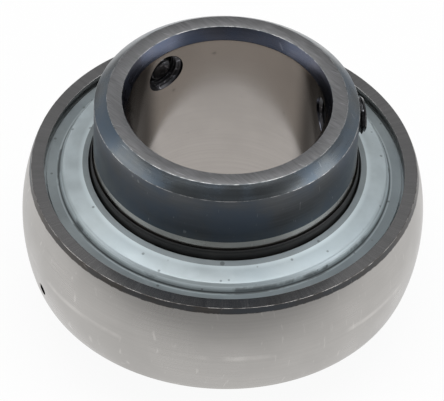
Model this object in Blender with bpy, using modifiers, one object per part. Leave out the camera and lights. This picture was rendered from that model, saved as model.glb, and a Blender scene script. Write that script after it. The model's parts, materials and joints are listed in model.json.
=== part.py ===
"""Insert ball bearing with a spherical outer ring, a wide inner ring and two grub screws.

Metres, +Z up along the shaft. The origin is the centre of the sphere and of the ball row.
"""

import math

import bmesh
import bpy
from mathutils import Matrix

# Rings, built outwards from the bore
BORE_RADIUS = 0.0125
INNER_RING_WALL = 0.0044
OUTER_RING_WALL = 0.0044
SIDE_FACE_WIDTH = 0.00165
INNER_RING_PAST_LOWER_LIP = 0.0044

# Chamfers and bevels
END_CHAMFER_WIDTH = 0.0016
END_CHAMFER_HEIGHT = 0.0014
BORE_CHAMFER_WIDTH = 0.0009
BORE_CHAMFER_HEIGHT = 0.0016
LOWER_CHAMFER = 0.0007
SIDE_BEVEL_WIDTH = 0.00026
SIDE_BEVEL_HEIGHT = 0.00075

# Balls, grooves and cage
BALL_RADIUS = 0.003969
BALL_GAP = 0.00015
GROOVE_CONFORMITY = 1.04
GROOVE_DEPTH_IN_BALL_RADII = 0.4457
CAGE_GAP = 0.0006
CAGE_BASE = 0.000831
CAGE_END_GAP = 0.0003
POCKET_GAP = 0.0002
POCKET_SPACE = 0.0046
HORN_HEIGHT = 0.0019
HORN_SLOT_WIDTH = 0.0024
HORN_SLOT_FLOOR = 0.00024
HORN_SLOT_DEPTH = 0.0026

# Seals
SHEET = 0.0005
SEAT_GAP = 0.0002
FLANGE_INSET = 0.001
UNDERCUT = 0.0003
RIM_GAP = 0.00035
FLANGE_WIDTH = 0.0015
STEP_WIDTH = 0.00055
STEP_ROUND = 0.0006
ROUND_START = math.radians(80)
ROUND_END = math.radians(10)
CROWN_EDGE_RISE = 0.0012
CROWN_RISE = 0.0018
BAND_WIDTH = 0.0007
BAND_RISE = 0.0002
RIM_OVER_LIP = 0.0003
INNER_WASHER_GAP = 0.0007
LIP_GAP = 0.0001
LIP_THICKNESS = 0.00025
LIP_RELIEF = 0.0001
LIP_REACH = 0.0014
LIP_BEVEL = 0.0006
LIP_EDGE = 0.0002
LIP_BODY_INSET = 0.0006
LIP_BODY_GAP = 0.00035
LIP_THROAT_WIDTH = 0.00085
LIP_THROAT_RISE = 0.0003
LIP_NECK_RISE = 0.0005

# Lubrication holes, one on each side of the outer ring
LUBE_HOLE_RADIUS = 0.00075
LUBE_ANGLES = (27.5, 207.5)

# Grub screws
SCREW_RADIUS = 0.0025
SCREW_CHAMFER = 0.0004
SCREW_POINT_HEIGHT = 0.0009
CUP_RADIUS = 0.0015
CUP_DEPTH = 0.0006
SOCKET_ACROSS_FLATS = 0.0025
SOCKET_DEPTH = 0.002
SCREW_OVER_LIP = 0.0024
SCREW_TIP_FROM_BORE = 0.00085
SCREW_PROUD = 0.00095
THREAD_GAP = 0.00006
HOLE_TO_END = 0.00244
HOLE_FLARE = 0.00015
SCREW_ANGLES = (11.0, 131.0)

# Facets
RING_STEPS = 48
SPHERE_STEPS = 8
GROOVE_STEPS = 8
ROUND_STEPS = 3
BALL_SEGMENTS = 14
BALL_RINGS = 8
HOLE_STEPS = 24
LUBE_STEPS = 12
MERGE = 0.000001
SHARP_ANGLE = math.radians(30)
CUT_MARGIN = 0.001

# Heights worked out from the ones above, from the ball row to the ends
POCKET_RADIUS = BALL_RADIUS + POCKET_GAP
CAGE_BOTTOM = POCKET_RADIUS + CAGE_BASE
INNER_WASHER_TOP = CAGE_BOTTOM + CAGE_END_GAP + SHEET
RECESS_FLOOR = INNER_WASHER_TOP - SHEET - SEAT_GAP
UNDERCUT_TOP = INNER_WASHER_TOP + SEAT_GAP
FLANGE_TOP = UNDERCUT_TOP + SHEET
HALF_WIDTH = FLANGE_TOP + FLANGE_INSET
BEVEL_FOOT = HALF_WIDTH - SIDE_BEVEL_HEIGHT
BAND_FOOT = FLANGE_TOP + CROWN_RISE
LIP_BODY_TOP = FLANGE_TOP + CROWN_EDGE_RISE - SHEET - LIP_BODY_GAP
LIP_TIP = BAND_FOOT + BAND_RISE + LIP_REACH
HOLE_RADIUS = SCREW_RADIUS + THREAD_GAP
SCREW_HEIGHT = LIP_TIP + SCREW_OVER_LIP + SCREW_RADIUS
INNER_RING_ABOVE = SCREW_HEIGHT + HOLE_RADIUS + HOLE_TO_END
INNER_RING_BELOW = LIP_TIP + INNER_RING_PAST_LOWER_LIP

# Radii worked out from the ones above, from the bore outwards
INNER_RING_RADIUS = BORE_RADIUS + INNER_RING_WALL
GROOVE_DEPTH = BALL_RADIUS * GROOVE_DEPTH_IN_BALL_RADII
PITCH_RADIUS = INNER_RING_RADIUS + BALL_RADIUS + BALL_GAP - GROOVE_DEPTH
OUTER_SHOULDER = PITCH_RADIUS + BALL_RADIUS + BALL_GAP - GROOVE_DEPTH
SPHERE_RADIUS = OUTER_SHOULDER + OUTER_RING_WALL
FACE_RADIUS = math.sqrt(SPHERE_RADIUS**2 - BEVEL_FOOT**2) - SIDE_BEVEL_WIDTH
MOUTH_RADIUS = FACE_RADIUS - SIDE_FACE_WIDTH
UNDERCUT_RADIUS = MOUTH_RADIUS + UNDERCUT
GROOVE_RADIUS = BALL_RADIUS * GROOVE_CONFORMITY
OUTER_GROOVE_CENTRE = PITCH_RADIUS + BALL_RADIUS + BALL_GAP - GROOVE_RADIUS
INNER_GROOVE_CENTRE = PITCH_RADIUS - BALL_RADIUS - BALL_GAP + GROOVE_RADIUS
GROOVE_ANGLE = math.acos((OUTER_SHOULDER - OUTER_GROOVE_CENTRE) / GROOVE_RADIUS)
GROOVE_EDGE = GROOVE_RADIUS * math.sin(GROOVE_ANGLE)
CAGE_INNER_RADIUS = INNER_RING_RADIUS + CAGE_GAP
CAGE_OUTER_RADIUS = OUTER_SHOULDER - CAGE_GAP
LIP_RADIUS = INNER_RING_RADIUS + LIP_GAP
LIP_OUTER_RADIUS = LIP_RADIUS + LIP_THICKNESS
WASHER_INNER_RADIUS = LIP_OUTER_RADIUS + RIM_OVER_LIP
WASHER_OUTER_RADIUS = MOUTH_RADIUS - RIM_GAP
FLANGE_INNER_RADIUS = WASHER_OUTER_RADIUS - FLANGE_WIDTH
CROWN_OUTER_RADIUS = FLANGE_INNER_RADIUS - STEP_WIDTH

# Counts and places worked out from the ones above
BALL_COUNT = int(math.tau * PITCH_RADIUS / (2 * POCKET_RADIUS + POCKET_SPACE))
LUBE_HEIGHT = -(GROOVE_EDGE + RECESS_FLOOR) / 2
SCREW_LENGTH = INNER_RING_WALL - SCREW_TIP_FROM_BORE + SCREW_PROUD
SCREW_CENTRE = BORE_RADIUS + SCREW_TIP_FROM_BORE + SCREW_LENGTH / 2


def clear_scene():
    for thing in list(bpy.data.objects):
        bpy.data.objects.remove(thing, do_unlink=True)


def new_collection(name):
    collection = bpy.data.collections.new(name)
    bpy.context.scene.collection.children.link(collection)
    return collection


def new_material(name, colour, roughness, metallic):
    material = bpy.data.materials.new(name)
    material.use_nodes = True
    shader = material.node_tree.nodes["Principled BSDF"]
    shader.inputs["Base Color"].default_value = (*colour, 1.0)
    shader.inputs["Roughness"].default_value = roughness
    shader.inputs["Metallic"].default_value = metallic
    return material


def new_object(name, mesh, collection, material=None):
    thing = bpy.data.objects.new(name, mesh)
    collection.objects.link(thing)
    if material and not mesh.materials:
        mesh.materials.append(material)
    return thing


def arc(centre_radius, centre_height, radius, start, end, steps):
    """Points (radius, height) of an arc that turns from the start angle to the end angle."""
    angles = [start + (end - start) * i / steps for i in range(steps + 1)]
    return [
        (centre_radius + radius * math.cos(angle), centre_height + radius * math.sin(angle))
        for angle in angles
    ]


def mirrored(points):
    """The same outline below the ball row, still running down its outer side."""
    return [(radius, -height) for radius, height in reversed(points)]


def on_side(points, side):
    return points if side > 0 else mirrored(points)


def turned(name, outline, collection, material=None, closed=True, steps=RING_STEPS):
    """Turn an outline of (radius, height) points about Z. It starts at the top of its outer side."""
    edges = [(i, i + 1) for i in range(len(outline) - 1)]
    if closed:
        edges.append((len(outline) - 1, 0))
    mesh = bpy.data.meshes.new(name)
    mesh.from_pydata([(radius, 0.0, height) for radius, height in outline], edges, [])
    thing = new_object(name, mesh, collection, material)
    turn = thing.modifiers.new("turn", "SCREW")
    turn.steps = steps
    turn.render_steps = steps
    turn.use_merge_vertices = True
    turn.merge_threshold = MERGE
    return thing


def sheet_metal(name, outline, collection, material):
    """A pressed washer: the outline is its outer face, and the sheet lies behind it."""
    thing = turned(name, outline, collection, material, closed=False)
    wall = thing.modifiers.new("sheet", "SOLIDIFY")
    wall.thickness = SHEET
    wall.offset = -1.0
    wall.use_even_offset = True
    return thing


def cutter(thing):
    thing.hide_render = True
    thing.display_type = "WIRE"
    return thing


def cut(thing, tool):
    hole = thing.modifiers.new("cut " + tool.name, "BOOLEAN")
    hole.operation = "DIFFERENCE"
    hole.solver = "EXACT"
    hole.object = tool


def settle(thing):
    """Keep what the modifiers made as the mesh itself, smooth except at its sharp edges."""
    depsgraph = bpy.context.evaluated_depsgraph_get()
    mesh = bpy.data.meshes.new_from_object(thing.evaluated_get(depsgraph))
    thing.modifiers.clear()
    mesh.name = thing.name
    thing.data = mesh
    mesh.shade_smooth()
    mesh.set_sharp_from_angle(angle=SHARP_ANGLE)
    return thing


def point_outwards(thing, angle, distance, height):
    """Lay the object's Z axis along a radius of the bearing."""
    turn = Matrix.Rotation(math.radians(angle), 4, "Z") @ Matrix.Rotation(math.pi / 2, 4, "Y")
    place = Matrix.Rotation(math.radians(angle), 4, "Z") @ Matrix.Translation((distance, 0.0, height))
    thing.rotation_euler = turn.to_euler()
    thing.location = place.translation
    return thing


def lube_hole_cutter(name, angle, collection):
    """A radial drill through the outer ring, in the shoulder beside the ball groove."""
    start = OUTER_SHOULDER - CUT_MARGIN
    end = SPHERE_RADIUS + CUT_MARGIN
    mesh = bpy.data.meshes.new(name)
    drill = bmesh.new()
    bmesh.ops.create_cone(
        drill,
        cap_ends=True,
        segments=LUBE_STEPS,
        radius1=LUBE_HOLE_RADIUS,
        radius2=LUBE_HOLE_RADIUS,
        depth=end - start,
    )
    drill.to_mesh(mesh)
    drill.free()
    thing = cutter(new_object(name, mesh, collection))
    return point_outwards(thing, angle, (start + end) / 2, LUBE_HEIGHT)


def make_outer_ring(parts, cutters, material):
    bevel_angle = math.asin(BEVEL_FOOT / SPHERE_RADIUS)
    outside = [(FACE_RADIUS, HALF_WIDTH)]
    outside += arc(0.0, 0.0, SPHERE_RADIUS, bevel_angle, -bevel_angle, SPHERE_STEPS)
    outside.append((FACE_RADIUS, -HALF_WIDTH))
    recess_below = [
        (MOUTH_RADIUS, -HALF_WIDTH),
        (MOUTH_RADIUS, -UNDERCUT_TOP),
        (UNDERCUT_RADIUS, -UNDERCUT_TOP),
        (UNDERCUT_RADIUS, -RECESS_FLOOR),
        (OUTER_SHOULDER, -RECESS_FLOOR),
    ]
    groove = arc(
        OUTER_GROOVE_CENTRE, 0.0, GROOVE_RADIUS, -GROOVE_ANGLE, GROOVE_ANGLE, GROOVE_STEPS
    )
    outline = outside + recess_below + groove + mirrored(recess_below)
    ring = turned("outer_ring", outline, parts, material)
    for number, angle in enumerate(LUBE_ANGLES, start=1):
        cut(ring, lube_hole_cutter(f"lube_hole_{number}", angle, cutters))
    return settle(ring)


def screw_hole_cutter(name, angle, collection):
    """A radial hole at the thread's outer radius, flared where it meets the bore."""
    start = BORE_RADIUS - CUT_MARGIN
    flare_end = BORE_RADIUS + HOLE_FLARE
    end = INNER_RING_RADIUS + CUT_MARGIN
    flare_radius = HOLE_RADIUS + (flare_end - start)
    outline = [
        (0.0, end),
        (HOLE_RADIUS, end),
        (HOLE_RADIUS, flare_end),
        (flare_radius, start),
        (0.0, start),
    ]
    thing = cutter(turned(name, outline, collection, closed=False, steps=HOLE_STEPS))
    return point_outwards(thing, angle, 0.0, SCREW_HEIGHT)


def make_inner_ring(parts, cutters, material):
    groove = arc(
        INNER_GROOVE_CENTRE,
        0.0,
        GROOVE_RADIUS,
        math.pi - GROOVE_ANGLE,
        math.pi + GROOVE_ANGLE,
        GROOVE_STEPS,
    )
    outline = [
        (INNER_RING_RADIUS - END_CHAMFER_WIDTH, INNER_RING_ABOVE),
        (INNER_RING_RADIUS, INNER_RING_ABOVE - END_CHAMFER_HEIGHT),
        *groove,
        (INNER_RING_RADIUS, LOWER_CHAMFER - INNER_RING_BELOW),
        (INNER_RING_RADIUS - LOWER_CHAMFER, -INNER_RING_BELOW),
        (BORE_RADIUS + BORE_CHAMFER_WIDTH, -INNER_RING_BELOW),
        (BORE_RADIUS, BORE_CHAMFER_HEIGHT - INNER_RING_BELOW),
        (BORE_RADIUS, INNER_RING_ABOVE - BORE_CHAMFER_HEIGHT),
        (BORE_RADIUS + BORE_CHAMFER_WIDTH, INNER_RING_ABOVE),
    ]
    ring = turned("inner_ring", outline, parts, material)
    for number, angle in enumerate(SCREW_ANGLES, start=1):
        cut(ring, screw_hole_cutter(f"screw_hole_{number}", angle, cutters))
    return settle(ring)


def pocket_cutter(collection):
    """One sphere for each ball, a little larger than the ball."""
    mesh = bpy.data.meshes.new("pockets")
    shape = bmesh.new()
    for number in range(BALL_COUNT):
        place = Matrix.Rotation(math.tau * number / BALL_COUNT, 4, "Z")
        place = place @ Matrix.Translation((PITCH_RADIUS, 0.0, 0.0))
        bmesh.ops.create_uvsphere(
            shape,
            u_segments=BALL_SEGMENTS,
            v_segments=BALL_RINGS,
            radius=POCKET_RADIUS,
            matrix=place,
        )
    shape.to_mesh(mesh)
    shape.free()
    return cutter(new_object("pockets", mesh, collection))


def horn_slot_cutter(collection):
    """A round-bottomed slot between each two pockets, which leaves the springy horns."""
    mesh = bpy.data.meshes.new("horn_slots")
    shape = bmesh.new()
    length = CAGE_OUTER_RADIUS - CAGE_INNER_RADIUS + 2 * CUT_MARGIN
    height = HORN_SLOT_DEPTH + CUT_MARGIN
    middle = (CAGE_OUTER_RADIUS + CAGE_INNER_RADIUS) / 2
    centre_height = HORN_HEIGHT - HORN_SLOT_DEPTH + height / 2
    for number in range(BALL_COUNT):
        place = Matrix.Rotation(math.tau * (number + 0.5) / BALL_COUNT, 4, "Z")
        place = place @ Matrix.Translation((middle, 0.0, centre_height))
        place = place @ Matrix.Diagonal((length, HORN_SLOT_WIDTH, height, 1.0))
        box = bmesh.ops.create_cube(shape, size=1.0)["verts"]
        foot = [vert for vert in box if vert.co.z < 0.0]
        edges = {edge for vert in foot for edge in vert.link_edges}
        along = [
            edge
            for edge in edges
            if edge.verts[0].co.y == edge.verts[1].co.y and edge.verts[0].co.z == edge.verts[1].co.z
        ]
        bmesh.ops.transform(shape, matrix=place, verts=box)
        bmesh.ops.bevel(
            shape,
            geom=along,
            offset=(HORN_SLOT_WIDTH - HORN_SLOT_FLOOR) / 2,
            offset_type="OFFSET",
            segments=ROUND_STEPS,
            profile=0.5,
            affect="EDGES",
            material=-1,
        )
    shape.to_mesh(mesh)
    shape.free()
    return cutter(new_object("horn_slots", mesh, collection))


def make_cage(parts, cutters, material):
    outline = [
        (CAGE_OUTER_RADIUS, HORN_HEIGHT),
        (CAGE_OUTER_RADIUS, -CAGE_BOTTOM),
        (CAGE_INNER_RADIUS, -CAGE_BOTTOM),
        (CAGE_INNER_RADIUS, HORN_HEIGHT),
    ]
    cage = turned("ball_cage", outline, parts, material)
    cut(cage, pocket_cutter(cutters))
    cut(cage, horn_slot_cutter(cutters))
    return settle(cage)


def make_balls(parts, cage, material):
    mesh = bpy.data.meshes.new("ball")
    shape = bmesh.new()
    bmesh.ops.create_uvsphere(
        shape, u_segments=BALL_SEGMENTS, v_segments=BALL_RINGS, radius=BALL_RADIUS
    )
    shape.to_mesh(mesh)
    shape.free()
    mesh.shade_smooth()
    for number in range(BALL_COUNT):
        angle = math.tau * number / BALL_COUNT
        ball = new_object(f"ball_{number + 1}", mesh, parts, material)
        ball.location = (PITCH_RADIUS * math.cos(angle), PITCH_RADIUS * math.sin(angle), 0.0)
        ball.rotation_euler = (0.0, 0.0, angle)
        ball.parent = cage


def make_outer_washer(name, side, parts, material):
    """The visible pressed washer: flange, rounded step, sloping crown and inner band."""
    shoulder = arc(
        CROWN_OUTER_RADIUS - STEP_ROUND,
        FLANGE_TOP + CROWN_EDGE_RISE - STEP_ROUND,
        STEP_ROUND,
        ROUND_START,
        ROUND_END,
        ROUND_STEPS,
    )
    outline = [
        (WASHER_INNER_RADIUS, BAND_FOOT + BAND_RISE),
        (WASHER_INNER_RADIUS + BAND_WIDTH, BAND_FOOT),
        *shoulder,
        (FLANGE_INNER_RADIUS, FLANGE_TOP),
        (WASHER_OUTER_RADIUS, FLANGE_TOP),
    ]
    return settle(sheet_metal(name, on_side(outline, side), parts, material))


def make_inner_washer(name, side, parts, material):
    """The flat washer behind it, whose rim is snapped into the outer ring's undercut."""
    outline = [
        (INNER_RING_RADIUS + INNER_WASHER_GAP, INNER_WASHER_TOP),
        (UNDERCUT_RADIUS - SEAT_GAP, INNER_WASHER_TOP),
    ]
    return settle(sheet_metal(name, on_side(outline, side), parts, material))


def make_seal_lip(name, side, parts, material):
    """A rubber ring held between the two washers, with a thin lip that turns outwards."""
    foot = INNER_WASHER_TOP + SEAT_GAP
    body_outer = CROWN_OUTER_RADIUS - LIP_BODY_INSET
    throat = LIP_OUTER_RADIUS + LIP_THROAT_WIDTH
    outline = [
        (LIP_RADIUS + LIP_RELIEF, LIP_TIP),
        (LIP_OUTER_RADIUS, LIP_TIP - LIP_BEVEL),
        (LIP_OUTER_RADIUS, LIP_BODY_TOP + LIP_NECK_RISE),
        (throat, LIP_BODY_TOP + LIP_THROAT_RISE),
        (body_outer, LIP_BODY_TOP),
        (body_outer, foot),
        (throat, foot),
        (LIP_RADIUS + LIP_RELIEF, LIP_BODY_TOP),
        (LIP_RADIUS + LIP_RELIEF, LIP_TIP - LIP_BEVEL),
        (LIP_RADIUS, LIP_TIP - LIP_EDGE),
    ]
    return settle(turned(name, on_side(outline, side), parts, material))


def socket_cutter(collection):
    """A hexagonal prism for the key."""
    mesh = bpy.data.meshes.new("key_socket")
    shape = bmesh.new()
    corner = SOCKET_ACROSS_FLATS / math.sqrt(3)
    depth = SOCKET_DEPTH + CUT_MARGIN
    middle = SCREW_LENGTH / 2 - SOCKET_DEPTH + depth / 2
    bmesh.ops.create_cone(
        shape,
        cap_ends=True,
        segments=6,
        radius1=corner,
        radius2=corner,
        depth=depth,
        matrix=Matrix.Translation((0.0, 0.0, middle)),
    )
    shape.to_mesh(mesh)
    shape.free()
    return cutter(new_object("key_socket", mesh, collection))


def make_grub_screws(parts, cutters, inner_ring, material):
    """Both screws share one mesh, whose Z axis runs out along the radius."""
    half = SCREW_LENGTH / 2
    outline = [
        (0.0, half),
        (SCREW_RADIUS - SCREW_CHAMFER, half),
        (SCREW_RADIUS, half - SCREW_CHAMFER),
        (SCREW_RADIUS, SCREW_POINT_HEIGHT - half),
        (CUP_RADIUS, -half),
        (0.0, CUP_DEPTH - half),
    ]
    first = turned("grub_screw_1", outline, parts, material, closed=False, steps=HOLE_STEPS)
    cut(first, socket_cutter(cutters))
    settle(first)
    screws = [first, new_object("grub_screw_2", first.data, parts)]
    for screw, angle in zip(screws, SCREW_ANGLES):
        point_outwards(screw, angle, SCREW_CENTRE, SCREW_HEIGHT)
        screw.parent = inner_ring


def remove_cutters(cutters):
    for thing in list(cutters.objects):
        bpy.data.objects.remove(thing, do_unlink=True)
    bpy.data.collections.remove(cutters)


def build():
    clear_scene()
    parts = new_collection("insert_bearing")
    cutters = new_collection("cutters")
    ground = new_material("ground_steel", (0.55, 0.54, 0.52), 0.3, 1.0)
    dark = new_material("dark_steel", (0.12, 0.13, 0.14), 0.35, 0.9)
    chrome_steel = new_material("ball_steel", (0.7, 0.7, 0.7), 0.1, 1.0)
    zinc = new_material("zinc_plate", (0.55, 0.6, 0.6), 0.4, 1.0)
    rubber = new_material("black_rubber", (0.012, 0.012, 0.012), 0.6, 0.0)
    nylon = new_material("cage_nylon", (0.05, 0.14, 0.08), 0.5, 0.0)
    black = new_material("black_screw", (0.03, 0.03, 0.035), 0.4, 0.8)
    make_outer_ring(parts, cutters, ground)
    inner_ring = make_inner_ring(parts, cutters, dark)
    cage = make_cage(parts, cutters, nylon)
    make_balls(parts, cage, chrome_steel)
    for place, side in (("top", 1), ("bottom", -1)):
        make_outer_washer(f"{place}_outer_washer", side, parts, zinc)
        make_inner_washer(f"{place}_inner_washer", side, parts, zinc)
        make_seal_lip(f"{place}_seal_lip", side, parts, rubber)
    make_grub_screws(parts, cutters, inner_ring, black)
    remove_cutters(cutters)


build()
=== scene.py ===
"""Insert ball bearing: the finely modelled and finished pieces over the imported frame.

Metres, +Z up along the shaft. The origin is the centre of the sphere and of the ball row.
"""

import json
import math
from collections import namedtuple

import bmesh
import bpy
from mathutils import Matrix, Vector

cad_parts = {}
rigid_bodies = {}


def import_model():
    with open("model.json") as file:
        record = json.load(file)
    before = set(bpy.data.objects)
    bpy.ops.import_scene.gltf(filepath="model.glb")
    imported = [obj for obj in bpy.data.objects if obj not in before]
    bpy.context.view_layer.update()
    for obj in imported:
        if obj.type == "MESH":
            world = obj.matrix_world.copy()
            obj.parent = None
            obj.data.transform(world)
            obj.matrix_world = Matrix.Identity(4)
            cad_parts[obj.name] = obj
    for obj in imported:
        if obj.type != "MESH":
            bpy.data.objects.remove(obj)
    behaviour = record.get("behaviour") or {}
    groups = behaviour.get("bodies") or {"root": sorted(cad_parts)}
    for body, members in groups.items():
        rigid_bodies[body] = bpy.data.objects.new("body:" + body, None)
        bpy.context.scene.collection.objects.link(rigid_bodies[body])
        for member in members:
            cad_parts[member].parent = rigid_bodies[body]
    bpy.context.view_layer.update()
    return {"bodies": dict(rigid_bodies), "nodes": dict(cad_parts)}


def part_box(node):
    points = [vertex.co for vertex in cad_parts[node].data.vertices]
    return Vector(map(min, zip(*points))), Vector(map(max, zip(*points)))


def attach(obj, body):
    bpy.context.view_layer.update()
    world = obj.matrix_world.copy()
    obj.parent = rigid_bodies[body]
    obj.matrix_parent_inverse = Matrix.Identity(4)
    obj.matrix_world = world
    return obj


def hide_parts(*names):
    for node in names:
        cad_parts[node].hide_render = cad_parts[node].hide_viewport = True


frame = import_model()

bl_info = {
    "name": "Insert Bearing",
    "version": (1, 0, 0),
    "blender": (4, 5, 0),
    "location": "3D View > Sidebar > Bearing",
    "description": "Builds an insert ball bearing piece by piece, with its finishes and its stage",
    "category": "Add Mesh",
}

RING_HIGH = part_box("outer_ring")[1]
INNER_LOW, INNER_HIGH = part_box("inner_ring")
BALL_LOW, BALL_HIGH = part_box("ball_1")
CAGE_LOW, CAGE_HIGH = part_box("ball_cage")
WASHER_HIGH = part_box("top_outer_washer")[1]
BACK_WASHER_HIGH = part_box("top_inner_washer")[1]
LIP_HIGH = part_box("top_seal_lip")[1]
BALL_COUNT = sum(name.removeprefix("ball_").isdigit() for name in frame["nodes"])

# Sides of the bearing, and degrees round its axis
SIDES = (("top", 1), ("bottom", -1))
LUBE_ANGLES = (27.5, 207.5)
SCREW_ANGLES = (11.0, 131.0)

# How finely the pieces are made
TURN_STEPS = 384
DETAIL_STEPS = 48
SPHERE_STEPS = 44
GROOVE_STEPS = 26
BEND_STEPS = 12
EDGE_STEPS = 3
SHARP_ANGLE = math.radians(12)
RIM_ANGLE = math.radians(60)

# The smallest rounding that is a bend, the gap at which points merge, how near a face lies to the
# flat end that it belongs to, and how far a tool reaches past its work
BEND = 0.00015
MERGE = 0.0000005
LEVEL = 0.00001
CUT_MARGIN = 0.001

# Finishes in the order in which the outer ring, the inner ring and a pressed washer hold them
SPHERE, SIDE_FACE, BEVEL, RACEWAY, WORN_BEVEL = range(5)
BLUED, END_FACE, CHAMFER, LAND, BORE_CHAMFER, BORE, HOLE_WALL, WORN_EDGE = range(8)
CROWN, FLANGE, BAND = range(3)


def length(name, description, default):
    """A size that a user may change."""
    return bpy.props.FloatProperty(
        name=name, description=description, default=default, min=0.0, precision=5, unit="LENGTH"
    )


def finish_colour(name, description, default):
    """A linear colour that a user may change."""
    return bpy.props.FloatVectorProperty(
        name=name,
        description=description,
        default=default,
        min=0.0,
        max=1.0,
        size=3,
        subtype="COLOR",
    )


class BearingSizes(bpy.types.PropertyGroup):
    """Sizes of the turned, pressed, moulded and threaded pieces."""

    sphere_radius: length("Sphere radius", "Radius of the ground outside", RING_HIGH.x)
    half_width: length("Half width", "Half of the outer ring's width", RING_HIGH.z)
    face_radius: length("Side face radius", "Outer edge of the side face", 0.024848)
    mouth_radius: length("Mouth radius", "Inner edge of the side face", 0.023198)
    bevel_height: length("Bevel height", "From the side face down to the sphere", 0.00075)
    undercut_radius: length("Undercut radius", "Seat of the flat washer's rim", 0.023498)
    undercut_top: length("Undercut top", "Upper end of the washer seat", 0.006)
    recess_floor: length("Recess floor", "Height where the seal recess starts", 0.0051)
    shoulder_radius: length("Shoulder radius", "Outer ring beside the ball groove", 0.0216)
    bore_radius: length("Bore radius", "Half of the shaft's diameter", 0.0125)
    inner_radius: length("Inner ring radius", "Outside of the inner ring", INNER_HIGH.x)
    inner_top: length("Inner ring top", "End face above the ball row", INNER_HIGH.z)
    inner_bottom: length("Inner ring bottom", "Lower face below the ball row", -INNER_LOW.z)
    end_chamfer_width: length("End chamfer width", "Radial width of the end chamfer", 0.0016)
    end_chamfer_height: length("End chamfer height", "Height of the end chamfer", 0.0014)
    bore_chamfer_width: length("Bore chamfer width", "Radial width at the bore", 0.0009)
    bore_chamfer_height: length("Bore chamfer height", "Height at the bore", 0.0016)
    lower_chamfer: length("Lower chamfer", "Chamfer at the lower face", 0.0007)
    land_top: length("Land top", "Where the ground land gives way to the dark finish", 0.0111)
    land_step: length("Land step", "How far the land lies below the dark finish", 0.00002)
    groove_radius: length("Groove radius", "Radius of both ball grooves", 0.004128)
    ball_radius: length("Ball radius", "Radius of each ball", BALL_HIGH.z)
    pitch_radius: length("Pitch radius", "Circle of ball centres", (BALL_LOW.x + BALL_HIGH.x) / 2)
    ball_gap: length("Ball gap", "Play between a ball and each groove", 0.00015)
    pocket_gap: length("Pocket gap", "Play between a ball and its pocket", 0.0002)
    cage_inner: length("Cage inner radius", "Inside of the cage", 0.0175)
    cage_outer: length("Cage outer radius", "Outside of the cage", CAGE_HIGH.x)
    cage_bottom: length("Cage bottom", "Lower edge of the cage", -CAGE_LOW.z)
    horn_height: length("Horn height", "Top of the horns that hold the balls", CAGE_HIGH.z)
    horn_slot_width: length("Horn slot width", "Slot between two horns", 0.0024)
    horn_slot_depth: length("Horn slot depth", "Depth of that slot", 0.0026)
    sheet: length("Sheet", "Thickness of the pressed washers", 0.0005)
    flange_radius: length("Flange radius", "Outer edge of the pressed washer", WASHER_HIGH.x)
    flange_inner: length("Flange inner radius", "Where the step starts", 0.02135)
    flange_top: length("Flange top", "Height of the flange", 0.0065)
    crown_radius: length("Crown radius", "Outer edge of the raised crown", 0.0209)
    crown_edge: length("Crown edge", "Height of the crown at its shoulder", 0.00768)
    band_radius: length("Band radius", "Where the crown gives way to the inner band", 0.01825)
    band_foot: length("Band foot", "Height of the crown at the band", 0.0083)
    rim_radius: length("Rim radius", "Inner edge of the pressed washer", 0.01755)
    rim_top: length("Rim top", "Height of that edge", WASHER_HIGH.z)
    step_round: length("Step round", "Bend at the crown's shoulder", 0.0006)
    back_radius: length("Back washer radius", "Rim of the flat washer", BACK_WASHER_HIGH.x)
    back_inner: length("Back washer bore", "Hole in the flat washer", 0.0176)
    back_top: length("Back washer top", "Upper side of the flat washer", BACK_WASHER_HIGH.z)
    lip_radius: length("Lip radius", "Inside of the rubber lip", 0.017)
    lip_outer: length("Lip outer radius", "Outside of the rubber lip", 0.01725)
    lip_tip: length("Lip tip", "Height of the lip's edge", LIP_HIGH.z)
    lip_body: length("Lip body radius", "Outside of the rubber between the washers", LIP_HIGH.x)
    lube_radius: length("Lubrication hole radius", "Radius of each hole", 0.00075)
    lube_drop: length("Lubrication hole drop", "How far it lies below the balls", 0.0042435)
    screw_radius: length("Screw radius", "Crest of the thread", 0.0025)
    thread_pitch: length("Thread pitch", "Rise in one turn", 0.0005)
    thread_depth: length("Thread depth", "From crest to root", 0.000307)
    thread_gap: length("Thread gap", "Play between the two threads", 0.00004)
    screw_length: length("Screw length", "From the cup point to the socket end", 0.0045)
    screw_centre: length("Screw centre", "Distance of its middle from the axis", 0.0156)
    screw_height: length("Screw height", "Height of both screws", 0.0148)
    key_width: length("Key width", "Across the flats of the socket", 0.0025)
    key_depth: length("Key depth", "Depth of the socket", 0.002)


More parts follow.
